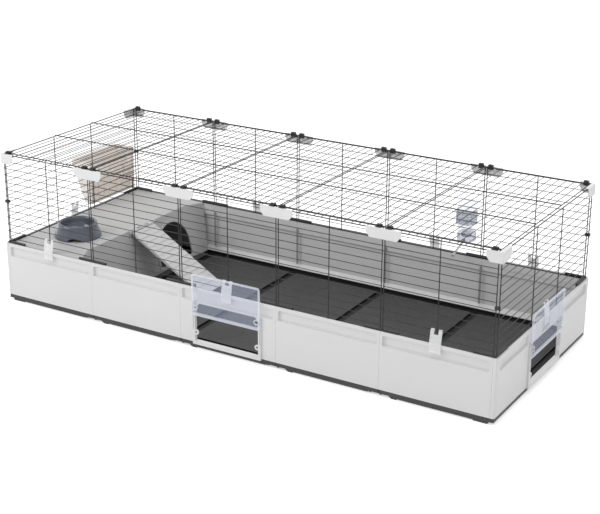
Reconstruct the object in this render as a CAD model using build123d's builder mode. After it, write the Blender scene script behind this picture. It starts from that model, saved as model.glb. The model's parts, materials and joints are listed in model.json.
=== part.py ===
from build123d import *
import math
import os

# Rodent cage: five floor trays, plastic walls, wire mesh panels, five wire lids and the furniture inside.
# Millimetres. +X runs along the cage, +Y to the back, +Z up, and the origin is on the floor at its middle.

# Layout of the cage
bay_count = 5
bay_length = 350.0
cage_depth = 720.0
wall_zone = 12.5
base_height = 20.0
wall_height = 182.0
wall_seam = 0.5
seat_gap = 0.3

# Floor trays
tray_recess = 1.5
strip_bottom = 3.0
seam_bottom = 7.0
channel_floor = 9.5
channel_width = 28.0
seam_channel = 14.0
plateau_height = 16.0
plateau_skin = 2.5
tray_corner = 4.0
foot_depth = 38.0
seam_foot_start = 32.0
seam_foot_slope = 10.0
seam_foot_width = 16.0
seam_thin_before = 36.0
bump_width = 8.0
bump_bottom = 4.5
bump_places = (-28.0, 7.0)
corner_foot_start = 20.0
corner_foot_width = 44.0
middle_foot_radius = 15.0

# Wall panels
sheet = 2.5
rim_lip_width = 6.0
rim_lip_chamfer = 1.5
shelf_drop = 5.0
band_drop = 27.0
cove_bottom = 158.0
cove_top = 192.0
cove_depth = 8.0
cove_taper = 14.0
cove_corner = 6.0
cove_rib = 8.0
cove_backing = 2.5
foot_wedge_rise = 18.0
wedge_toe = 2.0
post_corner = 6.0
end_cove_gap = 130.0
end_cove_outer = 337.0
latch_pocket = 30.0

# Door openings, frames and doors
opening_half = 116.0
opening_bottom = 28.0
opening_top = 152.0
opening_shoulder = 137.0
opening_top_half = 102.0
lining = 2.0
lining_depth = 6.0
cut_clearance = 0.2
frame_half = 125.0
frame_bottom = 15.0
frame_top = 157.0
frame_stand = 5.6
groove_middle = 121.7
groove_width = 2.4
groove_depth = 2.6
groove_start = 66.0
ring_place = 111.5
ring_height = 56.0
ring_outer = 8.5
ring_hole = 4.2
ring_start = 1.0
ring_front = 5.2
door_half = 124.0
door_height = 137.0
door_rest = 115.0
door_gap = 0.4
pane = 2.0
door_corner = 10.0
door_rail = 6.0
door_rail_stand = 1.2
door_bar_height = 9.0
door_bar_stand = 3.0
tongue_clearance = 0.4
loop_height = 25.0
loop_outer = 9.0
loop_inner = 5.2
loop_stand = 1.6
loop_mouth = 5.0
loop_inset = 12.5

# Wires of the mesh panels and the lids
thin_wire = 1.1
upright_wire = 1.5
frame_wire = 1.7
weld = 0.4
mesh_inset = 10.0
end_mesh_inset = 8.5
upright_inset = 4.0
first_wire = 219.0
wire_rows = 12
top_wire_gap = 22.3
top_wire_height = 507.5
stay_place = 98.0
end_upright_place = 347.0
lid_wire_count = 15
lid_edge = 345.0
lid_overhang = 352.0

# Caps and clips
cap_width = 110.0
cap_height = 32.2
cap_rise = 4.7
cap_skin = 2.5
cap_clear = 0.7
cap_taper_width = 12.0
cap_taper_height = 15.0
cap_fillet = 3.0
cap_lip = 2.2
cap_lip_clear = 0.8
hook_place = 30.0
hook_width = 8.0
hook_thickness = 1.4
hook_drop = 4.5
corner_cap_x = 50.0
corner_cap_y = 60.0
corner_cap_height = 34.2
corner_hook_x = 842.0
corner_hook_y = 318.0
clip_inset = 16.5
clip_width = 15.0
clip_back = 4.5
clip_wall = 1.4
clip_over = 1.2
clip_rise = 9.5
clip_nose = 5.0
clip_nose_height = 3.6
clip_fillet = 2.5
hinge_clearance = 0.08
grip_clearance = 0.05
rim_clip_length = 110.0
rim_clip_height = 7.6
rim_clip_width = 7.4
rim_clip_fillet = 1.5
rim_corner_x = 70.0
rim_corner_y = 80.0
mid_clip_row = 5
mid_clip_above = 3.0
mid_clip_rise = 8.0
mid_clip_wall = 2.6

# Latch clips
latch_half = 18.0
latch_bottom = 177.0
latch_plate = 2.0
latch_stand = 0.6
latch_bend_height = 207.0
latch_row = 1
latch_ring = 3.8
latch_loops = (-12.0, 12.0)
latch_loop_width = 10.0
tooth_reach = 1.8
tooth_gap = 1.5
tooth_height = 7.0
tooth_half = 11.0

# Hide house and its platform
house_left = 873.0
house_top_right = 612.0
house_bottom_right = 568.0
house_flare_top = 575.0
house_flare_bottom = 560.0
house_half_depth = 346.0
house_flare_depth = 75.0
house_height = 200.0
house_skin = 3.0
arch_middle = 172.0
arch_half = 93.0
arch_spring = 62.0
arch_sill = 14.0
arch_rim = 9.0
arch_rim_stand = 3.0
bar_x = -604.0
bar_z = 196.0
bar_radius = 3.0
bar_ear_width = 6.0
bar_ear_height = 10.0
bar_ear_gap = 4.0
bar_ear_reach = 5.0
bar_ear_length = 14.0

# Ramp
ramp_middle = 20.0
ramp_width = 120.0
ramp_length = 340.0
ramp_start = 4.5
ramp_plate = 3.0
ramp_skirt_drop = 9.0
ramp_skirt = 3.0
ramp_skirt_start = 8.0
ramp_rib_pitch = 22.0
ramp_rib_width = 3.0
ramp_rib_rise = 1.8
ramp_rib_start = 18.0
ramp_ring = 6.0
ramp_ring_width = 20.0
ramp_ring_places = (-42.0, 0.0, 42.0)
ramp_bore_clearance = 0.1

# Feed bowl
bowl_x = -733.0
bowl_y = -170.0
bowl_base = 80.0
bowl_top = 63.0
bowl_height = 50.0
bowl_skin = 3.0
bowl_rim = 7.0
bowl_floor_height = 13.0
bowl_floor = 46.0
bowl_notch_width = 44.0
bowl_notch_height = 12.0
bowl_notch_angle = -60.0

# Hay rack
rack_middle = 215.0
rack_width = 250.0
rack_height = 155.0
rack_rise = 25.0
rack_bottom_reach = 26.5
rack_top_reach = 82.5
rack_skin = 2.5
rack_back_clear = 0.4
rack_slot_count = 7
rack_slot_width = 22.0
rack_slot_margin = 14.0
rack_slot_corner = 3.0
rack_hook_row = 5
rack_hook_gaps = (-2.5, 2.5)

# Water bottle, its holder, cap and drinking spout
bottle_x = 449.0
bottle_reach = 34.0
bottle_radius = 33.0
bottle_bottom = 266.0
bottle_top = 372.0
bottle_skin = 1.6
bottle_shoulder = 14.0
bottle_crown = 10.0
neck_radius = 16.0
neck_bottom = 250.0
cap_radius = 31.0
bottle_cap_bottom = 236.0
bottle_cap_top = 262.0
grip_count = 24
grip_radius = 1.5
holder_bottom = 298.0
holder_top = 344.0
holder_skin = 2.4
holder_gap = 0.4
holder_back_clear = 0.4
holder_plate_half = 24.0
holder_hook_row = 4
spout_radius = 3.8
spout_bore = 2.9
spout_drop = 0.31
spout_mesh_height = 231.0
spout_inside = 61.0
spout_start = 16.0
spout_lip = 1.0
spout_lip_bore = 2.3
ball_radius = 2.8
ball_clearance = 0.05

# Worked out from the sizes above
half_depth = cage_depth / 2
half_bays = bay_count * bay_length / 2
half_length = half_bays + wall_zone
rim_top = base_height + wall_height
shelf = rim_top - shelf_drop
bottom_wire_height = shelf + frame_wire
boundaries = [index * bay_length - half_bays for index in range(bay_count + 1)]
bay_middles = [boundary + bay_length / 2 for boundary in boundaries[:-1]]
inner_boundaries = boundaries[1:-1]
row_offset = upright_wire + thin_wire - weld
wire_pitch = (top_wire_height - top_wire_gap - first_wire) / (wire_rows - 1)
row_heights = [first_wire + wire_pitch * row for row in range(wire_rows)]
rack_top = row_heights[rack_hook_row] + rack_rise
rack_bottom = rack_top - rack_height
lid_height = top_wire_height + frame_wire + seat_gap + upright_wire
cross_height = lid_height + thin_wire + frame_wire - weld
cap_top = top_wire_height + cap_rise
cap_bottom = cap_top - cap_height
corner_cap_bottom = cap_top - corner_cap_height
mesh_outer = mesh_inset - row_offset - thin_wire
cap_inset = mesh_outer - cap_clear
end_mesh_outer = end_mesh_inset - row_offset - thin_wire
end_cap_inset = end_mesh_outer - cap_clear

# Each wall's outer face: its own x runs along the wall, y is the height and z points outwards
front_face = Plane(origin=(0, -half_depth, 0), x_dir=(1, 0, 0), z_dir=(0, -1, 0))
back_face = Plane(origin=(0, half_depth, 0), x_dir=(-1, 0, 0), z_dir=(0, 1, 0))
right_face = Plane(origin=(half_length, 0, 0), x_dir=(0, 1, 0), z_dir=(1, 0, 0))
left_face = Plane(origin=(-half_length, 0, 0), x_dir=(0, -1, 0), z_dir=(-1, 0, 0))

os.makedirs("parts", exist_ok=True)


def keep(part, name):
    """Label a finished piece and write it."""
    part.label = name
    export_step(part, f"parts/{name}.step")


def cross_section(face, place):
    """The plane across a wall at a place along it: its x points outwards and its y up."""
    origin = face.from_local_coords(Vector(place, 0, 0))
    return Plane(origin=origin, x_dir=face.z_dir, z_dir=face.z_dir.cross(Vector(0, 0, 1)))


def slab(face, place, points, width):
    """Add the solid whose section across the wall has these points, this wide along the wall."""
    with BuildSketch(cross_section(face, place)) as section:
        Polygon(*points)
    extrude(section.sketch, amount=width / 2, both=True)


# Floor trays
def underside(index):
    """The outline of a tray's front edge, from the feet up to the strip, seen from the front."""
    low = boundaries[index] - (wall_zone - tray_recess if index == 0 else -wall_seam / 2)
    high = boundaries[index + 1] + (wall_zone - tray_recess if index == bay_count - 1 else -wall_seam / 2)
    points = [(low, channel_floor), (low, seam_bottom)]
    if index == 0:
        foot = boundaries[0] - wall_zone + corner_foot_start
        points += [(foot, seam_bottom), (foot, 0), (foot + corner_foot_width, 0)]
        points += [(foot + corner_foot_width, strip_bottom)]
    else:
        slope = boundaries[index] + seam_foot_start
        foot = slope + seam_foot_slope
        points += [(slope, seam_bottom), (foot, 0), (foot + seam_foot_width, 0)]
        points += [(foot + seam_foot_width, strip_bottom)]
    if index == bay_count - 1:
        foot = boundaries[-1] + wall_zone - corner_foot_start
        points += [(foot - corner_foot_width, strip_bottom), (foot - corner_foot_width, 0), (foot, 0)]
        points += [(foot, seam_bottom)]
    else:
        thin = boundaries[index + 1] - seam_thin_before
        points += [(thin, strip_bottom), (thin, seam_bottom)]
    points += [(high, seam_bottom), (high, channel_floor)]
    return points, low, high


def floor_tray(index):
    """One floor tray: a raised strip under the walls, a channel, a raised floor and feet."""
    outline, low, high = underside(index)
    first = index == 0
    last = index == bay_count - 1
    middle = (low + high) / 2
    edge = half_depth - tray_recess
    basin_low = boundaries[0] if first else low - 1
    basin_high = boundaries[-1] if last else high + 1
    floor_low = boundaries[index] + (channel_width if first else seam_channel)
    floor_high = boundaries[index + 1] - (channel_width if last else seam_channel)
    floor_middle = ((floor_low + floor_high) / 2, 0)
    floor_size = (floor_high - floor_low, cage_depth - 2 * (wall_zone + channel_width))
    with BuildPart() as tray:
        with BuildSketch(Plane.XY.offset(seam_bottom)):
            with Locations((middle, 0)):
                RectangleRounded(high - low, 2 * edge, tray_corner)
        extrude(amount=base_height - seam_bottom)
        with BuildSketch(Plane.XY.offset(channel_floor)):
            with Locations(((basin_low + basin_high) / 2, 0)):
                Rectangle(basin_high - basin_low, 2 * (half_depth - wall_zone))
        extrude(amount=base_height, mode=Mode.SUBTRACT)
        for side in (-1, 1):
            inner = Plane(origin=(0, side * (edge - foot_depth), 0), x_dir=(1, 0, 0), z_dir=(0, -1, 0))
            with BuildSketch(inner):
                Polygon(*outline)
                for place in bump_places:
                    bump = boundaries[index + (place < 0)] + place
                    if low < bump < high and not (first and place > 0) and not (last and place < 0):
                        with Locations((bump, (bump_bottom + channel_floor) / 2)):
                            Rectangle(bump_width, channel_floor - bump_bottom)
            extrude(amount=-side * foot_depth)
        with BuildSketch(Plane.XY.offset(strip_bottom)):
            with Locations(floor_middle):
                Rectangle(*floor_size)
        extrude(amount=plateau_height - strip_bottom)
        with BuildSketch(Plane.XY.offset(strip_bottom - 1)):
            with Locations(floor_middle):
                Rectangle(floor_size[0] - 2 * plateau_skin, floor_size[1] - 2 * plateau_skin)
        extrude(amount=plateau_height - plateau_skin - strip_bottom + 1, mode=Mode.SUBTRACT)
        with BuildSketch():
            with Locations((bay_middles[index], 0)):
                Circle(middle_foot_radius)
        extrude(amount=plateau_height - plateau_skin / 2)
    return tray


for index in range(bay_count):
    keep(floor_tray(index).part, f"floor_tray_{index + 1}")


# Wall panels
wall_section = [
    (0, base_height),
    (0, rim_top - rim_lip_chamfer),
    (-rim_lip_chamfer, rim_top),
    (-rim_lip_width, rim_top),
    (-rim_lip_width, shelf),
    (-wall_zone, shelf),
    (-wall_zone, rim_top - band_drop),
    (-cove_depth - cove_backing, rim_top - band_drop - cove_backing),
    (-cove_depth - cove_backing, cove_bottom),
    (-sheet, cove_bottom - cove_depth),
    (-sheet, base_height + foot_wedge_rise),
    (-wall_zone, base_height + wedge_toe),
    (-wall_zone, base_height),
]


def opening_outline(grow):
    """The outline of a door opening with its cut top corners, larger by a margin."""
    Polygon(
        (-opening_half, opening_bottom),
        (opening_half, opening_bottom),
        (opening_half, opening_shoulder),
        (opening_top_half, opening_top),
        (-opening_top_half, opening_top),
        (-opening_half, opening_shoulder),
    )
    if grow:
        offset(amount=grow, kind=Kind.INTERSECTION)


def wall_panel(face, middle, half, coves, has_door):
    """A wall panel with its rim, the coves under the rim and, if it has one, the door opening."""
    with BuildPart() as panel:
        slab(face, middle, wall_section, 2 * half)
        for start, end in coves:
            with BuildSketch(face):
                with Locations(((start + end) / 2, (cove_bottom + cove_top) / 2)):
                    RectangleRounded(end - start, cove_top - cove_bottom, cove_corner)
            extrude(amount=-cove_depth, taper=cove_taper, mode=Mode.SUBTRACT)
        if has_door:
            with BuildSketch(face.offset(1)):
                opening_outline(lining + cut_clearance)
            extrude(amount=-wall_zone - 2, mode=Mode.SUBTRACT)
    return panel


for index, middle in enumerate(bay_middles):
    half = (bay_length - wall_seam) / 2
    reach = bay_length / 2 - cove_rib
    door_bay = index == bay_count // 2
    name = "front_door_wall" if door_bay else f"front_wall_{index + 1}"
    keep(wall_panel(front_face, middle, half, [(middle - reach, middle + reach)], door_bay).part, name)
    back_cove = [(-middle - reach, -middle + reach)]
    keep(wall_panel(back_face, -middle, half, back_cove, False).part, f"back_wall_{index + 1}")

end_half = half_depth - wall_zone - wall_seam
end_coves = [
    (-end_cove_outer, -end_cove_gap),
    (-latch_pocket, latch_pocket),
    (end_cove_gap, end_cove_outer),
]
keep(wall_panel(left_face, 0, end_half, end_coves, False).part, "left_wall")
keep(wall_panel(right_face, 0, end_half, end_coves, True).part, "right_door_wall")

with BuildPart() as corner_post:
    post_size = wall_zone - wall_seam / 2
    post_x = half_length - post_size / 2
    post_y = half_depth - post_size / 2
    with BuildSketch(Plane.XY.offset(base_height)):
        with Locations((post_x, post_y)):
            Rectangle(post_size, post_size)
    extrude(amount=wall_height)
    outer_edge = corner_post.edges().filter_by(Axis.Z).sort_by(Axis.X)[-2:].sort_by(Axis.Y)[-1]
    fillet(outer_edge, post_corner)
    with BuildSketch(Plane.XY.offset(shelf)):
        with Locations((half_length - wall_zone, half_depth - wall_zone)):
            Rectangle(2 * (wall_zone - rim_lip_width), 2 * (wall_zone - rim_lip_width))
    extrude(amount=shelf_drop, mode=Mode.SUBTRACT)

with BuildPart() as corner_posts:
    add(corner_post.part)
    mirror(about=Plane.XZ)
    mirror(about=Plane.YZ)
keep(corner_posts.part, "corner_posts")


# Door frames and doors
def door_frame(face):
    """The frame clipped round a door opening, with side guides, a sill and two locking rings."""
    with BuildPart() as frame:
        with BuildSketch(face):
            with Locations((0, (frame_bottom + frame_top) / 2)):
                Rectangle(2 * frame_half, frame_top - frame_bottom)
            with Locations((0, (opening_bottom + frame_top + 1) / 2)):
                Rectangle(2 * opening_half, frame_top + 1 - opening_bottom, mode=Mode.SUBTRACT)
        extrude(amount=frame_stand)
        with BuildSketch(face):
            opening_outline(lining)
        extrude(amount=-lining_depth)
        with BuildSketch(face.offset(1)):
            opening_outline(0)
        extrude(amount=-lining_depth - 2, mode=Mode.SUBTRACT)
        with BuildSketch(face.offset(frame_stand)):
            groove_height = (groove_start + frame_top + 1) / 2
            with Locations((-groove_middle, groove_height), (groove_middle, groove_height)):
                Rectangle(groove_width, frame_top + 1 - groove_start)
        extrude(amount=-groove_depth, mode=Mode.SUBTRACT)
        with BuildSketch(face.offset(ring_start)):
            with Locations((-ring_place, ring_height), (ring_place, ring_height)):
                Circle(ring_outer)
        extrude(amount=ring_front - ring_start)
        with BuildSketch(face.offset(frame_stand)):
            with Locations((-ring_place, ring_height), (ring_place, ring_height)):
                Circle(ring_hole)
        extrude(amount=-frame_stand, mode=Mode.SUBTRACT)
    return frame


def sliding_door(face):
    """The see-through door at its half-raised rest, with edge rails, a grip bar and two C loops."""
    back = frame_stand + door_gap
    top = door_rest + door_height
    loop_place = door_half - loop_inset
    tongue_low = groove_start + door_rest + loop_height - ring_height + 1
    with BuildPart() as door:
        with BuildSketch(face.offset(back)) as outline:
            with Locations((0, door_rest + door_height / 2)):
                Rectangle(2 * door_half, door_height)
            fillet(outline.vertices().group_by(Axis.Y)[-1], door_corner)
        extrude(amount=pane)
        with BuildSketch(face.offset(back + pane)) as rails:
            with Locations((0, door_rest + door_height / 2)):
                Rectangle(2 * door_half, door_height)
            fillet(rails.vertices().group_by(Axis.Y)[-1], door_corner)
            with Locations((0, door_rest + (door_height - door_rail) / 2)):
                Rectangle(2 * (door_half - door_rail), door_height - door_rail, mode=Mode.SUBTRACT)
        extrude(amount=door_rail_stand)
        with BuildSketch(face.offset(back)):
            with Locations((0, door_rest + door_bar_height / 2)):
                Rectangle(2 * door_half, door_bar_height)
        extrude(amount=pane + door_bar_stand)
        with BuildSketch(face.offset(back)):
            tongue_height = (tongue_low + top - door_corner) / 2
            with Locations((-groove_middle, tongue_height), (groove_middle, tongue_height)):
                Rectangle(groove_width - 2 * tongue_clearance, top - door_corner - tongue_low)
        extrude(amount=-(groove_depth + door_gap - tongue_clearance))
        with BuildSketch(face.offset(back)):
            with Locations((-loop_place, door_rest + loop_height), (loop_place, door_rest + loop_height)):
                Circle(loop_outer)
        extrude(amount=pane + loop_stand)
        with BuildSketch(face.offset(back + pane + door_bar_stand)):
            with Locations((-loop_place, door_rest + loop_height), (loop_place, door_rest + loop_height)):
                Circle(loop_inner)
            for side in (-1, 1):
                with Locations((side * (loop_place + loop_outer), door_rest + loop_height)):
                    Rectangle(2 * loop_outer, loop_mouth)
        extrude(amount=-(pane + door_bar_stand), mode=Mode.SUBTRACT)
    return door


keep(door_frame(front_face).part, "front_door_frame")
keep(door_frame(right_face).part, "right_door_frame")
keep(sliding_door(front_face).part, "front_door")
keep(sliding_door(right_face).part, "right_door")


# Wire mesh panels
def wires(face, points, radius, length):
    """Add wires of one length that run along a wall through these (place, height, outward) points."""
    turn = (0, 90, 0) if abs(face.x_dir.X) > abs(face.x_dir.Y) else (90, 0, 0)
    with Locations(*[face.from_local_coords(Vector(*point)) for point in points]):
        Cylinder(radius, length, rotation=turn)


def mesh_panel(face, middle, uprights, inset):
    """A welded wire panel: uprights, a thick wire at its top and bottom and thin wires between them."""
    half = uprights[-1] + frame_wire
    height = top_wire_height - bottom_wire_height
    centre = (top_wire_height + bottom_wire_height) / 2
    places = [face.from_local_coords(Vector(middle + place, centre, -inset)) for place in uprights]
    with BuildPart() as panel:
        with Locations(*places):
            Cylinder(upright_wire, height)
        ends = [(middle, bottom_wire_height, -inset), (middle, top_wire_height, -inset)]
        wires(face, ends, frame_wire, 2 * half)
        rows = [(middle, row, row_offset - inset) for row in row_heights]
        wires(face, rows, thin_wire, 2 * half)
    return panel


bay_uprights = [upright_inset - bay_length / 2, 0, bay_length / 2 - upright_inset]
end_uprights = [-end_upright_place, -stay_place, stay_place, end_upright_place]
bay_panel = mesh_panel(front_face, 0, bay_uprights, mesh_inset).part

with BuildPart() as front_mesh_panels:
    with Locations(*[(middle, 0, 0) for middle in bay_middles]):
        add(bay_panel)
keep(front_mesh_panels.part, "front_mesh_panels")

with BuildPart() as back_mesh_panels:
    mirror(front_mesh_panels.part, about=Plane.XZ)
keep(back_mesh_panels.part, "back_mesh_panels")

keep(mesh_panel(left_face, 0, end_uprights, end_mesh_inset).part, "left_mesh_panel")
keep(mesh_panel(right_face, 0, end_uprights, end_mesh_inset).part, "right_mesh_panel")

# Wire lids: thin wires front to back, thick wires across them and the hinge wire at the back
lid_half = bay_length / 2 - upright_inset
lid_step = 2 * lid_half / (lid_wire_count - 1)
lid_length = lid_overhang + lid_edge
lid_middle = (lid_edge - lid_overhang) / 2

with BuildPart() as lid_wires:
    inner_places = [lid_step * number - lid_half for number in range(1, lid_wire_count - 1)]
    with Locations(*[(place, lid_middle, lid_height) for place in inner_places]):
        Cylinder(thin_wire, lid_length, rotation=(90, 0, 0))
    with Locations((-lid_half, lid_middle, lid_height), (lid_half, lid_middle, lid_height)):
        Cylinder(upright_wire, lid_length, rotation=(90, 0, 0))
    with Locations(*[(0, place, cross_height) for place in (-lid_edge, -stay_place, stay_place)]):
        Cylinder(frame_wire, 2 * (lid_half + frame_wire), rotation=(0, 90, 0))
    with Locations((0, lid_edge, lid_height)):
        Cylinder(frame_wire, 2 * (lid_half + frame_wire), rotation=(0, 90, 0))

for index, middle in enumerate(bay_middles):
    with BuildPart() as roof_lid:
        with Locations((middle, 0, 0)):
            add(lid_wires.part)
    keep(roof_lid.part, f"roof_lid_{index + 1}")


# Caps on the top edges
def hook_points(cap_face, wire_inset):
    """The section of a hook that reaches from a cap's plate under and behind the top wire."""
    under = top_wire_height - frame_wire - seat_gap
    behind = -wire_inset - frame_wire - seat_gap
    tip = top_wire_height + frame_wire / 2
    return [
        (-cap_face, under - hook_drop),
        (behind - hook_thickness, under - hook_drop),
        (behind - hook_thickness, tip),
        (behind, tip),
        (behind, under),
        (-cap_face, under),
    ]


def cap_plate(face, low, high, bottom, inset, cut_low, cut_high):
    """Add a cap's plate against the wires, with the lower corners cut that are asked for."""
    points = [(low, cap_top)]
    if cut_low:
        points += [(low, bottom + cap_taper_height), (low + cap_taper_width, bottom)]
    else:
        points += [(low, bottom)]
    if cut_high:
        points += [(high - cap_taper_width, bottom), (high, bottom + cap_taper_height)]
    else:
        points += [(high, bottom)]
    with BuildSketch(face.offset(-inset)) as plate:
        Polygon(*points, (high, cap_top))
    extrude(plate.sketch, amount=cap_skin)


lip_inset = half_depth - lid_overhang - cap_lip_clear
with BuildPart() as edge_cap:
    cap_plate(front_face, -cap_width / 2, cap_width / 2, cap_bottom, cap_inset, True, True)
    lip = [
        (-lip_inset, cap_top - cap_lip),
        (cap_skin - cap_inset, cap_top - cap_lip),
        (cap_skin - cap_inset, cap_top),
        (-lip_inset, cap_top),
    ]
    slab(front_face, 0, lip, cap_width)
    for place in (-hook_place, hook_place):
        slab(front_face, place, hook_points(cap_inset, mesh_inset), hook_width)

with BuildPart() as edge_caps:
    with Locations(*[(boundary, 0, 0) for boundary in inner_boundaries]):
        add(edge_cap.part)
    mirror(about=Plane.XZ)
keep(edge_caps.part, "edge_caps")

with BuildPart() as corner_cap:
    cap_x = half_length - end_cap_inset + cap_skin
    cap_y = half_depth - cap_inset + cap_skin
    cap_plate(front_face, cap_x - corner_cap_x, cap_x, corner_cap_bottom, cap_inset, True, False)
    cap_plate(right_face, -cap_y, corner_cap_y - cap_y, corner_cap_bottom, end_cap_inset, False, True)
    with BuildSketch(Plane.XY.offset(cap_top - cap_lip)):
        front_lip = cap_y - (half_depth - lip_inset)
        with Locations((cap_x, -cap_y)):
            Rectangle(corner_cap_x, front_lip, align=(Align.MAX, Align.MIN))
            end_lip = cap_x - (half_bays - upright_inset + frame_wire + cap_lip_clear)
            Rectangle(end_lip, corner_cap_y, align=(Align.MAX, Align.MIN))
    extrude(amount=cap_lip)
    fillet(corner_cap.edges().filter_by(Axis.Z).sort_by_distance((cap_x, -cap_y, cap_top))[0], cap_fillet)
    slab(front_face, corner_hook_x, hook_points(cap_inset, mesh_inset), hook_width)
    slab(right_face, -corner_hook_y, hook_points(end_cap_inset, end_mesh_inset), hook_width)

with BuildPart() as corner_caps:
    add(corner_cap.part)
    mirror(about=Plane.XZ)
    mirror(about=Plane.YZ)
keep(corner_caps.part, "corner_caps")


# Clips of the lids: fixed ones that the hinge wires turn in, and ones that ride on the front wires
clip_places = [clip_inset - bay_length / 2, bay_length / 2 - clip_inset]
hinge_outward = lid_edge - half_depth
clip_top = lid_height + clip_rise
clip_outward = lid_overhang - half_depth

with BuildPart() as hinge_clip:
    clip_low = top_wire_height - frame_wire - clip_wall
    clip_inward = hinge_outward - clip_back
    with BuildSketch(cross_section(back_face, 0)):
        with Locations(((clip_inward + clip_outward) / 2, (clip_low + clip_top) / 2)):
            RectangleRounded(clip_outward - clip_inward, clip_top - clip_low, clip_fillet)
        with Locations((hinge_outward, lid_height)):
            Circle(frame_wire + hinge_clearance, mode=Mode.SUBTRACT)
        with Locations((-mesh_inset, top_wire_height)):
            Circle(frame_wire + grip_clearance, mode=Mode.SUBTRACT)
    extrude(amount=clip_width / 2, both=True)

with BuildPart() as lid_hinge_clips:
    with Locations(*[(middle + place, 0, 0) for middle in bay_middles for place in clip_places]):
        add(hinge_clip.part)
keep(lid_hinge_clips.part, "lid_hinge_clips")

with BuildPart() as lid_clip:
    clip_low = top_wire_height + frame_wire + clip_over
    clip_inward = hinge_outward - clip_back
    clip_front = -mesh_inset + seat_gap
    nose_low = cap_top + cap_lip_clear / 2
    with BuildSketch(cross_section(front_face, 0)):
        with Locations(((clip_inward + clip_front) / 2, (clip_low + clip_top) / 2)):
            RectangleRounded(clip_front - clip_inward, clip_top - clip_low, clip_fillet)
        with Locations((clip_front - clip_fillet, nose_low)):
            Rectangle(clip_nose + clip_fillet, clip_nose_height, align=(Align.MIN, Align.MIN))
        with Locations((hinge_outward, cross_height)):
            Circle(frame_wire + grip_clearance, mode=Mode.SUBTRACT)
    extrude(amount=clip_width / 2, both=True)

for index, middle in enumerate(bay_middles):
    with BuildPart() as lid_clips:
        with Locations(*[(middle + place, 0, 0) for place in clip_places]):
            add(lid_clip.part)
    keep(lid_clips.part, f"lid_clips_{index + 1}")


# Clips that hold the panels on the rim, and to each other at the corners
rim_clip_low = bottom_wire_height + frame_wire + grip_clearance
rim_clip_y = half_depth - mesh_inset
end_upright_x = half_length - end_mesh_inset
bay_end_x = half_bays - upright_inset
corner_uprights = [(bay_end_x, -rim_clip_y), (end_upright_x, -end_upright_place)]

with BuildPart() as rim_clip:
    with BuildSketch(Plane.XY.offset(rim_clip_low)):
        with Locations((0, -rim_clip_y)):
            RectangleRounded(rim_clip_length, rim_clip_width, rim_clip_fillet)
        with Locations((-upright_inset, -rim_clip_y), (upright_inset, -rim_clip_y)):
            Circle(upright_wire + grip_clearance, mode=Mode.SUBTRACT)
    extrude(amount=rim_clip_height)

with BuildPart() as rim_clips:
    with Locations(*[(boundary, 0, 0) for boundary in inner_boundaries]):
        add(rim_clip.part)
    mirror(about=Plane.XZ)
keep(rim_clips.part, "rim_clips")

with BuildPart() as rim_corner_clip:
    arm_x = half_length - mesh_inset + rim_clip_width / 2
    arm_y = rim_clip_y + rim_clip_width / 2
    with BuildSketch(Plane.XY.offset(rim_clip_low)):
        with Locations((arm_x, -arm_y)):
            Rectangle(rim_corner_x, rim_clip_width, align=(Align.MAX, Align.MIN))
            Rectangle(rim_clip_width, rim_corner_y, align=(Align.MAX, Align.MIN))
        with Locations(*corner_uprights):
            Circle(upright_wire + grip_clearance, mode=Mode.SUBTRACT)
    extrude(amount=rim_clip_height)

with BuildPart() as rim_corner_clips:
    add(rim_corner_clip.part)
    mirror(about=Plane.XZ)
    mirror(about=Plane.YZ)
keep(rim_corner_clips.part, "rim_corner_clips")

with BuildPart() as corner_mesh_clip:
    margin = upright_wire + mid_clip_wall
    span_x = end_upright_x - bay_end_x + 2 * margin
    span_y = rim_clip_y - end_upright_place + 2 * margin
    with BuildSketch(Plane.XY.offset(row_heights[mid_clip_row] + mid_clip_above)):
        with Locations(((bay_end_x + end_upright_x) / 2, -(rim_clip_y + end_upright_place) / 2)):
            RectangleRounded(span_x, span_y, mid_clip_wall)
        with Locations(*corner_uprights):
            Circle(upright_wire + grip_clearance, mode=Mode.SUBTRACT)
    extrude(amount=mid_clip_rise)

with BuildPart() as corner_mesh_clips:
    add(corner_mesh_clip.part)
    mirror(about=Plane.XZ)
    mirror(about=Plane.YZ)
keep(corner_mesh_clips.part, "corner_mesh_clips")


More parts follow.
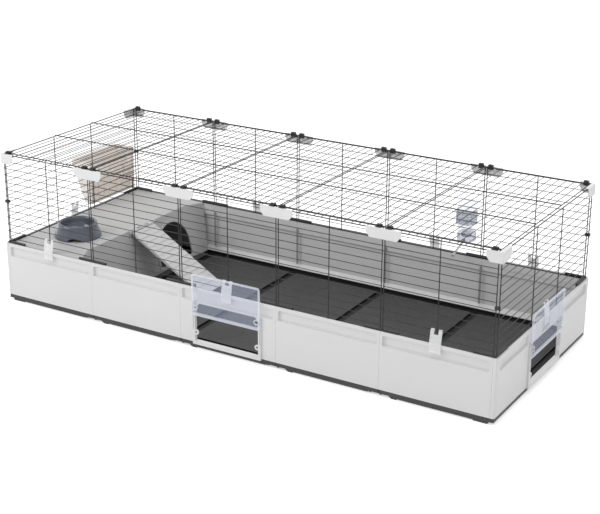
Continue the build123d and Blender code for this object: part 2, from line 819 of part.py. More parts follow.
# Latch clips: loops round a mesh wire, a plate in front of the wall's lip and a tooth under it
def latch_clip(face, place, inset):
    """A latch clip that hangs on a thin wire and holds the panel down on the wall."""
    wire_outward = row_offset - inset
    wire_height = row_heights[latch_row]
    front = latch_stand + latch_plate
    ring_front = wire_outward + latch_ring
    plate = [
        (latch_stand, latch_bottom),
        (front, latch_bottom),
        (front, latch_bend_height),
        (ring_front, wire_height),
        (ring_front - latch_plate, wire_height - latch_plate),
        (latch_stand, latch_bend_height - latch_plate),
    ]
    tooth_top = cove_top - tooth_gap
    tooth = [
        (latch_stand, tooth_top),
        (-tooth_reach, tooth_top),
        (-tooth_reach, tooth_top - tooth_height / 3),
        (latch_stand, tooth_top - tooth_height),
    ]
    slot_low = wire_height - 3 * latch_ring
    slot_height = 6 * latch_ring
    loop_edges = [edge + side * latch_loop_width / 2 for edge in latch_loops for side in (-1, 1)]
    with BuildPart() as latch:
        slab(face, place, plate, 2 * latch_half)
        slab(face, place, tooth, 2 * tooth_half)
        with BuildSketch(face.offset(front)):
            for low, high in zip(loop_edges[1:-1:2], loop_edges[2:-1:2]):
                with Locations((place + (low + high) / 2, slot_low + slot_height / 2)):
                    Rectangle(high - low, slot_height)
        extrude(amount=-inset - front, mode=Mode.SUBTRACT)
        for loop in latch_loops:
            with BuildSketch(cross_section(face, place + loop)):
                with Locations((wire_outward, wire_height)):
                    Circle(latch_ring)
            extrude(amount=latch_loop_width / 2, both=True)
        with BuildSketch(cross_section(face, place)):
            with Locations((wire_outward, wire_height)):
                Circle(thin_wire + hinge_clearance)
        extrude(amount=latch_half + 1, both=True, mode=Mode.SUBTRACT)
    return latch


latches = {
    "latch_front_1": (front_face, bay_middles[0], mesh_inset),
    "latch_front_2": (front_face, bay_middles[2], mesh_inset),
    "latch_front_3": (front_face, bay_middles[4], mesh_inset),
    "latch_back_1": (back_face, -bay_middles[1], mesh_inset),
    "latch_back_2": (back_face, -bay_middles[3], mesh_inset),
    "latch_back_3": (back_face, -bay_middles[4], mesh_inset),
    "latch_left": (left_face, 0, end_mesh_inset),
    "latch_right": (right_face, 0, end_mesh_inset),
}
for name, (face, place, inset) in latches.items():
    keep(latch_clip(face, place, inset).part, name)


# Hide house: its roof is the platform, and its right wall leans and has an arched doorway
def house_outline(right, flare, skin):
    """The house's outline in plan, with its right wall flaring out at the front and back."""
    edge = house_half_depth - skin
    knee = house_half_depth - house_flare_depth
    Polygon(
        (skin - house_left, -edge),
        (-flare - skin, -edge),
        (-right - skin, -knee),
        (-right - skin, knee),
        (-flare - skin, edge),
        (skin - house_left, edge),
    )


house_lean = math.atan2(house_top_right - house_bottom_right, house_height - plateau_height)
doorway = Plane(
    origin=(-house_bottom_right, arch_middle, plateau_height),
    x_dir=(0, 1, 0),
    z_dir=(math.cos(house_lean), 0, math.sin(house_lean)),
)


def arch_outline(grow):
    """The doorway's outline on the leaning wall: straight sides up to a round top."""
    half = arch_half + grow
    sill = arch_sill - grow
    with Locations((0, arch_spring)):
        Circle(half)
    with Locations((0, sill)):
        Rectangle(2 * half, arch_spring - sill, align=(Align.CENTER, Align.MIN))
        Rectangle(2 * half, 2 * half, align=(Align.CENTER, Align.MAX), mode=Mode.SUBTRACT)


with BuildPart() as hide_house:
    for skin, low, high, mode in (
        (0, plateau_height, house_height, Mode.ADD),
        (house_skin, plateau_height - 1, house_height - house_skin, Mode.SUBTRACT),
    ):
        with BuildSketch(Plane.XY.offset(low)):
            house_outline(house_bottom_right, house_flare_bottom, skin)
        with BuildSketch(Plane.XY.offset(high)):
            house_outline(house_top_right, house_flare_top, skin)
        loft(ruled=True, mode=mode)
    with BuildSketch(doorway.offset(-house_skin / 2)):
        arch_outline(arch_rim)
    extrude(amount=house_skin / 2 + arch_rim_stand)
    with BuildSketch(doorway.offset(arch_rim_stand + 1)):
        arch_outline(0)
    extrude(amount=-arch_rim_stand - 2 * house_skin - 1, mode=Mode.SUBTRACT)
    bar_half = ramp_width / 2 + bar_ear_gap + bar_ear_width
    with Locations((bar_x, ramp_middle, bar_z)):
        Cylinder(bar_radius, 2 * bar_half, rotation=(90, 0, 0))
    for side in (-1, 1):
        ear_place = ramp_middle + side * (bar_half - bar_ear_width / 2)
        with Locations((bar_x + bar_ear_reach, ear_place, bar_z)):
            ear_align = (Align.MAX, Align.CENTER, Align.CENTER)
            Box(bar_ear_length, bar_ear_width, bar_ear_height, align=ear_align)
keep(hide_house.part, "hide_house")

# Ramp: its rings turn on the house's bar and its foot rests on the floor
foot_reach = math.hypot(ramp_length, ramp_skirt_drop)
foot_drop = bar_z - plateau_height - seat_gap
ramp_slope = math.asin(foot_drop / foot_reach) - math.atan2(ramp_skirt_drop, ramp_length)
ramp_side = Plane(
    origin=(bar_x, ramp_middle, bar_z),
    x_dir=(math.cos(ramp_slope), 0, -math.sin(ramp_slope)),
    z_dir=(0, -1, 0),
)
ramp_top = Plane(origin=ramp_side.origin, x_dir=ramp_side.x_dir, z_dir=ramp_side.y_dir)
ramp_rib_count = int((ramp_length - ramp_rib_start) / ramp_rib_pitch)

with BuildPart() as ramp:
    with BuildSketch(ramp_side):
        with Locations((ramp_start, -ramp_plate)):
            Rectangle(ramp_length - ramp_start, ramp_plate, align=(Align.MIN, Align.MIN))
    extrude(amount=ramp_width / 2, both=True)
    for side in (-1, 1):
        with BuildSketch(ramp_side.offset(side * (ramp_width - ramp_skirt) / 2)):
            with Locations((ramp_skirt_start, -ramp_skirt_drop)):
                Rectangle(ramp_length - ramp_skirt_start, ramp_skirt_drop, align=(Align.MIN, Align.MIN))
        extrude(amount=ramp_skirt / 2, both=True)
    with BuildSketch(ramp_top):
        for number in range(ramp_rib_count):
            with Locations((ramp_rib_start + number * ramp_rib_pitch, 0)):
                Rectangle(ramp_rib_width, ramp_width - 2 * ramp_skirt)
    extrude(amount=ramp_rib_rise)
    for place in ramp_ring_places:
        with BuildSketch(ramp_side.offset(place)):
            Circle(ramp_ring)
        extrude(amount=ramp_ring_width / 2, both=True)
    with BuildSketch(ramp_side):
        Circle(bar_radius + ramp_bore_clearance)
    extrude(amount=ramp_width, both=True, mode=Mode.SUBTRACT)
keep(ramp.part, "ramp")

# Feed bowl: a round double-walled dish with two finger notches in its base
with BuildPart() as feed_bowl:
    with BuildSketch(Plane(origin=(bowl_x, bowl_y, house_height), x_dir=(1, 0, 0), z_dir=(0, -1, 0))):
        with BuildLine():
            base = (bowl_base, 0)
            lip = (bowl_top, bowl_height - bowl_rim / 2)
            inner_lip = (bowl_top - bowl_rim, bowl_height - bowl_rim / 2)
            corner = (bowl_floor, bowl_floor_height)
            under = bowl_floor_height - bowl_skin
            Line(base, lip)
            ThreePointArc(lip, (bowl_top - bowl_rim / 2, bowl_height), inner_lip)
            Line(inner_lip, corner)
            Line(corner, (0, bowl_floor_height))
            Line((0, bowl_floor_height), (0, under))
            Line((0, under), (bowl_floor + bowl_skin, under))
            hollow_top = (bowl_top - bowl_rim / 2, bowl_height - bowl_rim)
            Line((bowl_floor + bowl_skin, under), hollow_top)
            Line(hollow_top, (bowl_base - bowl_skin, 0))
            Line((bowl_base - bowl_skin, 0), base)
        make_face()
    revolve(axis=Axis((bowl_x, bowl_y, 0), (0, 0, 1)))
    for turn in (bowl_notch_angle, bowl_notch_angle + 180):
        away = Vector(1, 0, 0).rotate(Axis.Z, turn)
        notch = Plane(origin=(bowl_x, bowl_y, house_height), x_dir=away.rotate(Axis.Z, 90), z_dir=away)
        with BuildSketch(notch.offset(bowl_floor + 2 * bowl_skin)):
            Ellipse(bowl_notch_width / 2, bowl_notch_height)
        extrude(amount=bowl_base, mode=Mode.SUBTRACT)
keep(feed_bowl.part, "feed_bowl")


# Hay rack: an open-topped trough outside the left panel, hooked on one of its wires
def wire_hook(face, place, back, wire_outward, wire_height, width):
    """Add a hook from a plate's back over and behind a thin wire."""
    over = wire_height + thin_wire + seat_gap
    behind = wire_outward - thin_wire - seat_gap
    points = [
        (back, over),
        (back, over + hook_thickness),
        (behind - hook_thickness, over + hook_thickness),
        (behind - hook_thickness, wire_height - 2 * thin_wire),
        (behind, wire_height - 2 * thin_wire),
        (behind, over),
    ]
    slab(face, place, points, width)


with BuildPart() as hay_rack:
    rack_back = rack_back_clear - end_mesh_outer
    outer_section = [
        (rack_back, rack_bottom),
        (rack_bottom_reach, rack_bottom),
        (rack_top_reach, rack_top),
        (rack_back, rack_top),
    ]
    slope = (rack_top_reach - rack_bottom_reach) / rack_height
    hollow_section = [
        (rack_back + rack_skin, rack_bottom + rack_skin),
        (rack_bottom_reach + slope * rack_skin - rack_skin, rack_bottom + rack_skin),
        (rack_top_reach + slope - rack_skin, rack_top + 1),
        (rack_back + rack_skin, rack_top + 1),
    ]
    slab(left_face, -rack_middle, outer_section, rack_width)
    with BuildSketch(cross_section(left_face, -rack_middle)):
        Polygon(*hollow_section)
    extrude(amount=rack_width / 2 - rack_skin, both=True, mode=Mode.SUBTRACT)
    rack_slot_pitch = (rack_width - 2 * rack_slot_margin) / rack_slot_count
    rack_slot_height = rack_height - 2 * rack_slot_margin
    with BuildSketch(left_face.offset(rack_back - 1)):
        for number in range(rack_slot_count):
            slot_place = (number - (rack_slot_count - 1) / 2) * rack_slot_pitch - rack_middle
            with Locations((slot_place, (rack_bottom + rack_top) / 2)):
                RectangleRounded(rack_slot_width, rack_slot_height, rack_slot_corner)
    extrude(amount=rack_skin + 2, mode=Mode.SUBTRACT)
    rack_wire = row_offset - end_mesh_inset
    for gap in rack_hook_gaps:
        hook_at = gap * rack_slot_pitch - rack_middle
        wire_hook(left_face, hook_at, rack_back, rack_wire, row_heights[rack_hook_row], hook_width)
keep(hay_rack.part, "hay_rack")


# Water bottle: a holder hooked on the back panel, the bottle, its cap, the spout and the spout's ball
bottle_centre = back_face.from_local_coords(Vector(-bottle_x, 0, bottle_reach))
bottle_wire = row_offset - mesh_inset

with BuildPart() as bottle_holder:
    holder_inner = bottle_radius + holder_gap
    holder_back = holder_back_clear - mesh_outer
    with BuildSketch(Plane.XY.offset(holder_bottom)):
        with Locations((bottle_centre.X, bottle_centre.Y)):
            Circle(holder_inner + holder_skin)
            outside = 4 * bottle_radius
            Rectangle(outside, outside, align=(Align.CENTER, Align.MIN), mode=Mode.SUBTRACT)
        with Locations((bottle_centre.X, half_depth + holder_back)):
            Rectangle(2 * holder_plate_half, bottle_reach - holder_back, align=(Align.CENTER, Align.MIN))
        with Locations((bottle_centre.X, bottle_centre.Y)):
            Circle(holder_inner, mode=Mode.SUBTRACT)
    extrude(amount=holder_top - holder_bottom)
    for place in (-holder_plate_half / 2, holder_plate_half / 2):
        hook_wire = row_heights[holder_hook_row]
        wire_hook(back_face, place - bottle_x, holder_back, bottle_wire, hook_wire, hook_width)
keep(bottle_holder.part, "bottle_holder")

bottle_side = Plane(origin=(bottle_centre.X, bottle_centre.Y, 0), x_dir=(1, 0, 0), z_dir=(0, -1, 0))
bottle_axis = Axis((bottle_centre.X, bottle_centre.Y, 0), (0, 0, 1))

with BuildPart() as water_bottle:
    with BuildSketch(bottle_side):
        Polygon(
            (0, bottle_top),
            (bottle_radius - bottle_crown, bottle_top),
            (bottle_radius, bottle_top - bottle_crown),
            (bottle_radius, bottle_bottom + bottle_shoulder),
            (neck_radius, bottle_bottom),
            (neck_radius, neck_bottom),
            (neck_radius - bottle_skin, neck_bottom),
            (neck_radius - bottle_skin, bottle_bottom + bottle_skin),
            (bottle_radius - bottle_skin, bottle_bottom + bottle_shoulder + bottle_skin),
            (bottle_radius - bottle_skin, bottle_top - bottle_crown),
            (bottle_radius - bottle_crown, bottle_top - bottle_skin),
            (0, bottle_top - bottle_skin),
        )
    revolve(axis=bottle_axis)
keep(water_bottle.part, "water_bottle")

spout_slope = math.atan(spout_drop)
spout_aim = Vector(0, -math.cos(spout_slope), -math.sin(spout_slope))
mesh_y = half_depth - mesh_inset
tip_y = mesh_y - spout_inside
tip = Vector(bottle_centre.X, tip_y, spout_mesh_height - spout_inside * spout_drop)
start_y = bottle_centre.Y - spout_start
start = Vector(bottle_centre.X, start_y, spout_mesh_height + (start_y - mesh_y) * spout_drop)
spout_root = Plane(origin=start, x_dir=(1, 0, 0), z_dir=spout_aim)
spout_tip = Plane(origin=tip, x_dir=(1, 0, 0), z_dir=spout_aim)
spout_length = (tip - start).length

with BuildPart() as bottle_cap:
    with BuildSketch(Plane.XY.offset(bottle_cap_bottom)):
        with Locations((bottle_centre.X, bottle_centre.Y)):
            Circle(cap_radius)
    extrude(amount=bottle_cap_top - bottle_cap_bottom)
    with BuildSketch(Plane.XY.offset(neck_bottom - seat_gap)):
        with Locations((bottle_centre.X, bottle_centre.Y)):
            Circle(neck_radius + seat_gap)
    extrude(amount=bottle_cap_top, mode=Mode.SUBTRACT)
    with BuildSketch(Plane.XY.offset(bottle_cap_bottom)):
        with Locations((bottle_centre.X, bottle_centre.Y)):
            with PolarLocations(cap_radius, grip_count):
                Circle(grip_radius)
    extrude(amount=bottle_cap_top - bottle_cap_bottom - grip_radius, mode=Mode.SUBTRACT)
    with BuildSketch(spout_root):
        Circle(spout_radius + grip_clearance)
    extrude(amount=cap_radius, mode=Mode.SUBTRACT)
keep(bottle_cap.part, "bottle_cap")

with BuildPart() as bottle_spout:
    with BuildSketch(spout_root):
        Circle(spout_radius)
    extrude(amount=spout_length)
    with BuildSketch(spout_root):
        Circle(spout_bore)
    extrude(amount=spout_length - spout_lip, mode=Mode.SUBTRACT)
    with BuildSketch(spout_root):
        Circle(spout_lip_bore)
    extrude(amount=spout_length + 1, mode=Mode.SUBTRACT)
keep(bottle_spout.part, "bottle_spout")

with BuildPart() as spout_ball:
    ball_back = math.sqrt(ball_radius**2 - spout_lip_bore**2) + spout_lip + ball_clearance
    with Locations(spout_tip.from_local_coords(Vector(0, 0, -ball_back))):
        Sphere(ball_radius)
keep(spout_ball.part, "spout_ball")
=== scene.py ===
import json
import math

import bmesh
import bpy
from mathutils import Matrix, Vector


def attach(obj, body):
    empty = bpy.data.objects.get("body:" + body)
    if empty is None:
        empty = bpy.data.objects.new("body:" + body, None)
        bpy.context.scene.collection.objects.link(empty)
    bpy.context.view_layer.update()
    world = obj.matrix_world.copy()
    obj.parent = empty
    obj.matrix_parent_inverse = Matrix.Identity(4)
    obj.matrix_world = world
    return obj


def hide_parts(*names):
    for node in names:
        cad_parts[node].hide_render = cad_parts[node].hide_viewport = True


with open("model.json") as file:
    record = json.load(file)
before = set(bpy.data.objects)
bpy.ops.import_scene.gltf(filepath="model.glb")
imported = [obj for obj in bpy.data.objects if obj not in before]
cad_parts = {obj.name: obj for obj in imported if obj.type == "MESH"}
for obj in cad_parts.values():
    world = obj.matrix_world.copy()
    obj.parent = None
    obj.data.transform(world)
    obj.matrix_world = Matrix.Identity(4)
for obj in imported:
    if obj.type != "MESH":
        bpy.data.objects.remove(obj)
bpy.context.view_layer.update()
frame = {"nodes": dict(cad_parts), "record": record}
nodes = frame["nodes"]
scene = bpy.context.scene

# Sizes in metres, and waves to the metre, that the materials share
plastic_grain_scale = 900.0
mark_spread = 0.08
sink_depth = 0.0004
glow_depth = 0.004
ripple_scale = 300.0
ripple_depth = 0.00005


# Small helpers for building node trees
def new_material(name):
    """A new material, its node tree and its Principled shader."""
    material = bpy.data.materials.new(name)
    material.use_nodes = True
    tree = material.node_tree
    shader = tree.nodes["Principled BSDF"]
    return material, tree, shader


def coordinates(tree):
    """The place in the object's own frame, in metres."""
    return tree.nodes.new("ShaderNodeTexCoord").outputs["Object"]


def noise(tree, place, scale, detail=3.0, rough=0.5):
    """Noise at this many waves to the metre, centred on a half."""
    node = tree.nodes.new("ShaderNodeTexNoise")
    node.inputs["Scale"].default_value = scale
    node.inputs["Detail"].default_value = detail
    node.inputs["Roughness"].default_value = rough
    tree.links.new(place, node.inputs["Vector"])
    return node.outputs["Fac"]


def remap(tree, value, low, high, out_low, out_high):
    """A value taken from one range into another, and kept inside it."""
    node = tree.nodes.new("ShaderNodeMapRange")
    node.inputs["From Min"].default_value = low
    node.inputs["From Max"].default_value = high
    node.inputs["To Min"].default_value = out_low
    node.inputs["To Max"].default_value = out_high
    tree.links.new(value, node.inputs["Value"])
    return node.outputs["Result"]


def mix(tree, factor, first, second):
    """A colour between two, which are colours or sockets."""
    node = tree.nodes.new("ShaderNodeMix")
    node.data_type = "RGBA"
    tree.links.new(factor, node.inputs["Factor"])
    for socket, colour in ((node.inputs["A"], first), (node.inputs["B"], second)):
        if isinstance(colour, tuple):
            socket.default_value = (*colour, 1.0)
        else:
            tree.links.new(colour, socket)
    return node.outputs["Result"]


def bump(tree, height, distance, strength=1.0, under=None):
    """A bump of this many metres from a height between 0 and 1."""
    node = tree.nodes.new("ShaderNodeBump")
    node.inputs["Distance"].default_value = distance
    node.inputs["Strength"].default_value = strength
    tree.links.new(height, node.inputs["Height"])
    if under is not None:
        tree.links.new(under, node.inputs["Normal"])
    return node.outputs["Normal"]


def plastic(name, colour, rough, grain=0.00004, shade=0.04, coat=0.0, glow=0.0):
    """Moulded plastic: a fine grain, slow colour changes and handling marks."""
    material, tree, shader = new_material(name)
    place = coordinates(tree)
    slow = noise(tree, place, 5.0, 3.0)
    dark = tuple(part * (1 - shade) for part in colour)
    pale = tuple(min(1.0, part * (1 + shade)) for part in colour)
    tree.links.new(mix(tree, remap(tree, slow, 0.3, 0.7, 0, 1), dark, pale), shader.inputs["Base Color"])
    marks = noise(tree, place, 38.0, 5.0, 0.65)
    worn = remap(tree, marks, 0.3, 0.75, rough - mark_spread / 2, rough + mark_spread)
    tree.links.new(worn, shader.inputs["Roughness"])
    fine = noise(tree, place, plastic_grain_scale, 2.0)
    sink = noise(tree, place, 14.0, 1.0)
    waves = bump(tree, sink, sink_depth, 0.35)
    tree.links.new(bump(tree, fine, grain, 0.6, waves), shader.inputs["Normal"])
    shader.inputs["IOR"].default_value = 1.47
    shader.inputs["Coat Weight"].default_value = coat
    shader.inputs["Coat Roughness"].default_value = 0.1
    shader.inputs["Subsurface Weight"].default_value = glow
    shader.inputs["Subsurface Radius"].default_value = (1.0, 1.0, 1.0)
    shader.inputs["Subsurface Scale"].default_value = glow_depth
    return material


def clear_plastic(name, colour, alpha, rough):
    """See-through plastic: faintly milky, with a soft moulded ripple and fine scuffs."""
    material, tree, shader = new_material(name)
    place = coordinates(tree)
    slow = noise(tree, place, 12.0, 3.0)
    scuffs = noise(tree, place, 160.0, 6.0, 0.7)
    tint = mix(tree, remap(tree, slow, 0.3, 0.7, 0, 1), tuple(part * 0.95 for part in colour), colour)
    tree.links.new(tint, shader.inputs["Base Color"])
    tree.links.new(remap(tree, scuffs, 0.35, 0.8, alpha * 0.92, alpha * 1.12), shader.inputs["Alpha"])
    tree.links.new(remap(tree, scuffs, 0.3, 0.8, rough, rough + 0.12), shader.inputs["Roughness"])
    ripple = noise(tree, place, ripple_scale, 2.0)
    tree.links.new(bump(tree, ripple, ripple_depth, 0.4), shader.inputs["Normal"])
    shader.inputs["IOR"].default_value = 1.5
    return material


def axis_value(tree, place, axis):
    """One coordinate of a place."""
    node = tree.nodes.new("ShaderNodeSeparateXYZ")
    tree.links.new(place, node.inputs["Vector"])
    return node.outputs[axis]


def maths(tree, operation, first, second=None):
    """A maths node on sockets or numbers."""
    node = tree.nodes.new("ShaderNodeMath")
    node.operation = operation
    for socket, value in zip(node.inputs, (first, second)):
        if isinstance(value, (int, float)):
            socket.default_value = value
        elif value is not None:
            tree.links.new(value, socket)
    return node.outputs["Value"]


def tray_with_painted_channel_shade(name):
    """Dark moulded plastic, with painted shade that turns it near black down in the channels round each
    raised floor.
    """
    material = plastic(name, (0.045, 0.044, 0.045), 0.5, grain=0.00006, shade=0.12)
    tree = material.node_tree
    shader = tree.nodes["Principled BSDF"]
    plain = shader.inputs["Base Color"].links[0].from_socket
    place = coordinates(tree)
    # Painted shade: a mask for low in the channels and for the sunk strip beside each raised floor, inside
    # the cage
    low = remap(tree, axis_value(tree, place, "Z"), channel_shade_full_height, channel_shade_end_height, 1, 0)
    across = maths(tree, "ABSOLUTE", axis_value(tree, place, "Y"))
    along = maths(tree, "ABSOLUTE", axis_value(tree, place, "X"))
    inside = maths(tree, "MULTIPLY", maths(tree, "LESS_THAN", across, inside_half_depth),
                   maths(tree, "LESS_THAN", along, inside_half_length))
    beside = maths(tree, "MAXIMUM", maths(tree, "GREATER_THAN", across, channel_half_depth),
                   maths(tree, "GREATER_THAN", along, channel_half_length))
    sunk = maths(tree, "LESS_THAN", axis_value(tree, place, "Z"), strip_top)
    low = maths(tree, "MAXIMUM", low, maths(tree, "MULTIPLY", beside, sunk))
    black = maths(tree, "MULTIPLY", low, inside)
    # Painted shade: the masked places are mixed to near black
    tree.links.new(mix(tree, black, plain, (0.004, 0.004, 0.004)), shader.inputs["Base Color"])
    return material


def door_look(name, axis):
    """The see-through door: a thin clear pane with paler, milkier rails, grip bar and loops."""
    material = clear_plastic(name, (0.66, 0.75, 1.0), pane_alpha, 0.1)
    tree = material.node_tree
    shader = tree.nodes["Principled BSDF"]
    place = coordinates(tree)
    across = maths(tree, "ABSOLUTE", axis_value(tree, place, axis))
    height = axis_value(tree, place, "Z")
    edge = maths(tree, "GREATER_THAN", across, rail_start)
    edge = maths(tree, "MAXIMUM", edge, maths(tree, "LESS_THAN", height, grip_bar_top))
    edge = maths(tree, "MAXIMUM", edge, maths(tree, "GREATER_THAN", height, top_rail_start))
    reach = maths(tree, "POWER", maths(tree, "SUBTRACT", across, loop_across), 2)
    rise = maths(tree, "POWER", maths(tree, "SUBTRACT", height, loop_height), 2)
    loop = maths(tree, "LESS_THAN", maths(tree, "ADD", reach, rise), loop_radius ** 2)
    edge = maths(tree, "MAXIMUM", edge, loop)
    clear_tint = shader.inputs["Base Color"].links[0].from_socket
    clear_alpha = shader.inputs["Alpha"].links[0].from_socket
    tree.links.new(mix(tree, edge, clear_tint, (0.88, 0.91, 1.0)), shader.inputs["Base Color"])
    milky = maths(tree, "MULTIPLY", edge, rail_alpha)
    tree.links.new(maths(tree, "ADD", clear_alpha, milky), shader.inputs["Alpha"])
    return material


def wire_enamel(name, colour):
    """Black enamelled wire: thin orange peel, a satin shine and a few dull patches."""
    material, tree, shader = new_material(name)
    place = coordinates(tree)
    patches = noise(tree, place, 25.0, 4.0, 0.6)
    worn = tuple(part * 2.2 + 0.01 for part in colour)
    tone = mix(tree, remap(tree, patches, 0.35, 0.75, 0, 1), colour, worn)
    tree.links.new(tone, shader.inputs["Base Color"])
    tree.links.new(remap(tree, patches, 0.3, 0.75, 0.36, 0.52), shader.inputs["Roughness"])
    peel = noise(tree, place, 700.0, 2.0)
    tree.links.new(bump(tree, peel, 0.00006, 0.6), shader.inputs["Normal"])
    shader.inputs["Specular IOR Level"].default_value = 0.32
    return material


def steel(name):
    """Polished steel with a fine grain."""
    material, tree, shader = new_material(name)
    place = coordinates(tree)
    shader.inputs["Metallic"].default_value = 1.0
    streaks = noise(tree, place, 400.0, 4.0, 0.6)
    tree.links.new(remap(tree, streaks, 0.3, 0.7, 0.14, 0.3), shader.inputs["Roughness"])
    tone = mix(tree, streaks, (0.52, 0.52, 0.53), (0.68, 0.68, 0.68))
    tree.links.new(tone, shader.inputs["Base Color"])
    tree.links.new(bump(tree, streaks, 0.00002, 0.5), shader.inputs["Normal"])
    return material


# Places in the cage's frame that some materials change at
# Heights where the painted channel shade is full and where it has faded out
channel_shade_full_height = 0.0153
channel_shade_end_height = 0.0158
channel_half_depth = 0.3196
channel_half_length = 0.8471
strip_top = 0.0199
inside_half_depth = 0.3477
inside_half_length = 0.8752
pane_alpha = 0.12
rail_alpha = 0.3
rail_start = 0.1178
grip_bar_top = 0.1242
top_rail_start = 0.2458
loop_across = 0.1115
loop_height = 0.140
loop_radius = 0.0093

materials = {
    "tray_plastic": tray_with_painted_channel_shade("tray_plastic_painted_shade_look"),
    "wall_plastic": plastic("wall_plastic_look", (0.72, 0.715, 0.72), 0.42, shade=0.012),
    "door_clear": door_look("front_door_look", "X"),
    "black_wire": wire_enamel("black_wire_look", (0.012, 0.012, 0.013)),
    "black_clip": plastic("black_clip_look", (0.014, 0.014, 0.015), 0.42, shade=0.1),
    "latch_clear": clear_plastic("latch_clear_look", (0.93, 0.935, 0.94), 0.62, 0.14),
    "house_grey": plastic("house_grey_look", (0.53, 0.525, 0.525), 0.5, grain=0.00008, shade=0.03),
    "bowl_blue": plastic("bowl_blue_look", (0.085, 0.1, 0.132), 0.2, grain=0.00001, shade=0.05, coat=0.6),
    "rack_beige": plastic("rack_beige_look", (0.86, 0.8, 0.755), 0.5, shade=0.03, glow=0.5),
    "holder_blue": clear_plastic("holder_blue_look", (0.3, 0.36, 0.5), 0.42, 0.2),
    "bottle_clear": clear_plastic("bottle_clear_look", (0.7, 0.77, 0.9), 0.13, 0.06),
    "spout_steel": steel("spout_steel_look"),
}

for subpart in frame["record"]["subparts"]:
    node = nodes[subpart["node"]]
    node.data.materials.clear()
    node.data.materials.append(materials[subpart["material_slot"]])

nodes["right_door"].data.materials[0] = door_look("right_door_look", "Y")
cap_look = plastic("cap_plastic_look", (0.78, 0.775, 0.78), 0.4, shade=0.01, glow=0.6)
nodes["edge_caps"].data.materials[0] = cap_look
nodes["corner_caps"].data.materials[0] = cap_look
# Painted light: the ramp gets a paler copy of the house grey, standing in for the brighter light on its
# slope
ramp_painted_light_look = plastic("ramp_plastic_painted_light_look", (0.64, 0.64, 0.64), 0.5, grain=0.00008, shade=0.02)
nodes["ramp"].data.materials[0] = ramp_painted_light_look


# Rounded edges on the moulded pieces
weld_distance = 0.000002
sharp_from = math.radians(35)


def round_edges(node, width):
    """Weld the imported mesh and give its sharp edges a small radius."""
    weld = node.modifiers.new("weld", "WELD")
    weld.merge_threshold = weld_distance
    rounding = node.modifiers.new("rounding", "BEVEL")
    rounding.width = width
    rounding.segments = 2
    rounding.limit_method = "ANGLE"
    rounding.angle_limit = sharp_from
    rounding.harden_normals = True


edge_radii = {
    "tray_plastic": 0.0005,
    "wall_plastic": 0.0004,
    "house_grey": 0.0007,
    "rack_beige": 0.0006,
    "black_clip": 0.0003,
}
for subpart in frame["record"]["subparts"]:
    if subpart["material_slot"] in edge_radii:
        round_edges(nodes[subpart["node"]], edge_radii[subpart["material_slot"]])


def mesh_object(name, bm, material, body):
    """Turn a bmesh into a piece with a material that rides on a body."""
    mesh = bpy.data.meshes.new(name)
    bm.normal_update()
    bm.to_mesh(mesh)
    bm.free()
    mesh.materials.append(material)
    piece = bpy.data.objects.new(name, mesh)
    scene.collection.objects.link(piece)
    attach(piece, body)
    return piece


# Feed bowl: a turned shape with a bulged skirt, a rolled lip and two finger notches
bowl_centre = Vector((-0.733, -0.170, 0.200))
bowl_steps = 160
skirt_steps = 8
notch_angles = (math.radians(-60), math.radians(120))
notch_half = 0.026
notch_height = 0.013
skirt_thickness = 0.003
skirt_profile = (
    (0.0, 0.0800), (0.004, 0.0797), (0.012, 0.0775),
    (0.024, 0.0722), (0.033, 0.0690), (0.0385, 0.0672),
)
lip_profile = (
    (0.0672, 0.0385), (0.0668, 0.0425), (0.0655, 0.0462), (0.0632, 0.0488), (0.0606, 0.0498),
    (0.0582, 0.0489), (0.0566, 0.0462), (0.0555, 0.0420),
    (0.0540, 0.0340), (0.0515, 0.0245), (0.0480, 0.0172),
    (0.0440, 0.0139), (0.0380, 0.0131), (0.0002, 0.0130),
)
soffit_profile = (
    (0.0002, 0.0105), (0.0450, 0.0105), (0.0500, 0.0150),
    (0.0560, 0.0330), (0.0612, 0.0450), (0.0640, 0.0385),
)


def skirt_radius(height):
    """The bowl's outer radius at a height."""
    for (low, near), (high, far) in zip(skirt_profile, skirt_profile[1:]):
        if height <= high:
            return near + (far - near) * (height - low) / (high - low)
    return skirt_profile[-1][1]


def notch_rise(angle):
    """How far the skirt's edge is lifted at an angle, for the finger notches."""
    rise = 0.0
    for middle in notch_angles:
        off = (angle - middle + math.pi) % (2 * math.pi) - math.pi
        place = off * skirt_profile[0][1] / notch_half
        if abs(place) < 1:
            rise = notch_height * math.sqrt(1 - place * place)
    return rise


def bowl_ring(angle):
    """The bowl's closed section at an angle, as (radius, height) points."""
    rise = notch_rise(angle)
    top = skirt_profile[-1][0]
    heights = [rise + (top - rise) * step / skirt_steps for step in range(skirt_steps + 1)]
    outer = [(skirt_radius(height), height) for height in heights]
    inner = [(skirt_radius(height) - skirt_thickness, height) for height in reversed(heights)]
    return [*outer, *lip_profile[1:], *soffit_profile, *inner[1:]]


bowl_bm = bmesh.new()
bowl_rings = []
for step in range(bowl_steps):
    angle = 2 * math.pi * step / bowl_steps
    away = Vector((math.cos(angle), math.sin(angle), 0))
    points = [bowl_centre + away * radius + Vector((0, 0, height)) for radius, height in bowl_ring(angle)]
    bowl_rings.append([bowl_bm.verts.new(point) for point in points])
for first, second in zip(bowl_rings, bowl_rings[1:] + bowl_rings[:1]):
    for index in range(len(first)):
        after = (index + 1) % len(first)
        bowl_bm.faces.new((first[index], second[index], second[after], first[after]))
bmesh.ops.remove_doubles(bowl_bm, verts=bowl_bm.verts, dist=0.00005)
bmesh.ops.recalc_face_normals(bowl_bm, faces=bowl_bm.faces)
for face in bowl_bm.faces:
    face.smooth = True
bowl_piece = mesh_object("turned_feed_bowl", bowl_bm, materials["bowl_blue"], "bowl")
sharp = bowl_piece.modifiers.new("edges", "EDGE_SPLIT")
sharp.split_angle = math.radians(50)
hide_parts("feed_bowl")
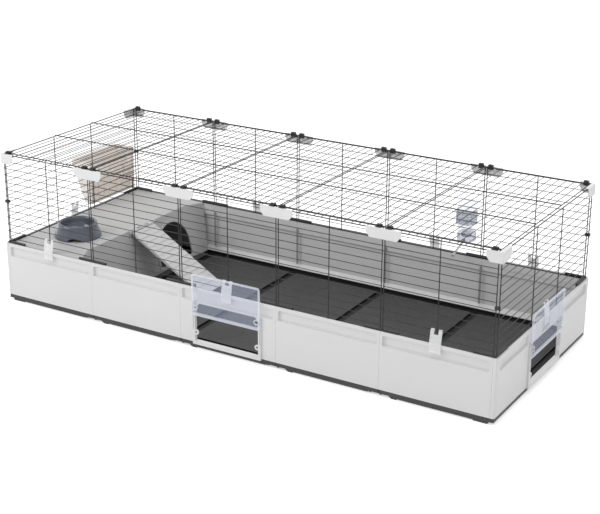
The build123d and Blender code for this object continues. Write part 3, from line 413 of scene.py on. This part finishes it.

# Painted seam shade: where two panels meet, a dark grey strip on the inside stands in for the shaded gap of
# the seam
strip_half = 0.0035
strip_depth = 0.0014
strip_low = 0.040
strip_high = 0.172
strip_face = 0.3474
strip_places = (-0.525, -0.175, 0.175, 0.525)
# Painted shade: a dark grey for the seam strips
seam_shade_look = plastic("painted_seam_shade_look", (0.3, 0.3, 0.305), 0.55, shade=0.05)
strip_bm = bmesh.new()
for place in strip_places:
    for side in (-1, 1):
        made = bmesh.ops.create_cube(strip_bm, size=1.0)["verts"]
        size = Vector((2 * strip_half, strip_depth, strip_high - strip_low))
        bmesh.ops.scale(strip_bm, vec=size, verts=made)
        middle = Vector((place, side * (strip_face - strip_depth / 2), (strip_low + strip_high) / 2))
        bmesh.ops.translate(strip_bm, vec=middle, verts=made)
bmesh.ops.bevel(strip_bm, geom=strip_bm.edges[:], offset=0.0005, segments=2, affect="EDGES")
mesh_object("painted_seam_shade_strips", strip_bm, seam_shade_look, "root")

# Floor, light and camera
floor_half = 30.0
floor_drop = 0.0005
floor_tone = 0.86
floor_glow = 0.5
floor_mesh = bpy.data.meshes.new("studio_floor")
floor_bm = bmesh.new()
bmesh.ops.create_grid(floor_bm, x_segments=1, y_segments=1, size=floor_half)
floor_bm.to_mesh(floor_mesh)
floor_bm.free()
floor = bpy.data.objects.new("studio_floor", floor_mesh)
floor.location = (0, 0, -floor_drop)
scene.collection.objects.link(floor)


def seen_rays(tree):
    """One for rays from the camera, a gloss or a clear piece, and zero for the light's own rays."""
    path = tree.nodes.new("ShaderNodeLightPath")
    seen = maths(tree, "MAXIMUM", path.outputs["Is Camera Ray"], path.outputs["Is Glossy Ray"])
    return maths(tree, "MAXIMUM", seen, path.outputs["Is Transmission Ray"])


def studio_floor_material():
    """A pale floor that keeps the object's soft shadow and shows the camera a white ground."""
    material, tree, shader = new_material("studio_floor_look")
    shader.inputs["Base Color"].default_value = (floor_tone, floor_tone, floor_tone, 1)
    shader.inputs["Roughness"].default_value = 0.9
    shader.inputs["Specular IOR Level"].default_value = 0.1
    shader.inputs["Emission Color"].default_value = (1, 1, 1, 1)
    tree.links.new(maths(tree, "MULTIPLY", seen_rays(tree), floor_glow), shader.inputs["Emission Strength"])
    return material


floor_mesh.materials.append(studio_floor_material())

world = bpy.data.worlds.new("studio_world")
scene.world = world
world.use_nodes = True
world_tree = world.node_tree
background = world_tree.nodes["Background"]
background.inputs["Color"].default_value = (1, 1, 1, 1)
world_light = 0.7
world_strength = remap(world_tree, seen_rays(world_tree), 0, 1, world_light, 1.0)
world_tree.links.new(world_strength, background.inputs["Strength"])


def area_light(name, place, aim, size, power):
    """A soft square lamp at a place, turned to an aim."""
    lamp = bpy.data.lights.new(name, "AREA")
    lamp.shape = "SQUARE"
    lamp.size = size
    lamp.energy = power
    holder = bpy.data.objects.new(name, lamp)
    holder.location = place
    holder.rotation_mode = "QUATERNION"
    holder.rotation_quaternion = (Vector(aim) - Vector(place)).to_track_quat("-Z", "Y")
    scene.collection.objects.link(holder)


area_light("key_light", (-2.9, -3.0, 2.9), (-0.3, 0, 0.2), 2.2, 66)
area_light("fill_light", (3.6, -1.2, 2.2), (0, 0, 0.2), 2.5, 7)
area_light("top_light", (0.2, 0.4, 3.6), (0, 0, 0.2), 2.6, 36)

# The camera stands about where the photograph was taken from, with no shift
camera_place = Vector((2.182, -3.574, 1.781))
camera_pitch = math.radians(20.55)
camera_azimuth = math.radians(30.89)
camera_roll = math.radians(0.3)
focal_pixels = 1380.5
image_width = 600
camera_data = bpy.data.cameras.new("photo_camera")
camera_data.sensor_width = 36
camera_data.lens = focal_pixels / image_width * camera_data.sensor_width
camera_data.clip_start = 0.05
camera_data.clip_end = 60
camera = bpy.data.objects.new("photo_camera", camera_data)
scene.collection.objects.link(camera)
turn = Matrix.Rotation(camera_azimuth, 4, "Z") @ Matrix.Rotation(math.pi / 2 - camera_pitch, 4, "X")
camera.matrix_world = Matrix.Translation(camera_place) @ turn @ Matrix.Rotation(camera_roll, 4, "Z")
scene.camera = camera

scene.view_settings.view_transform = "Standard"
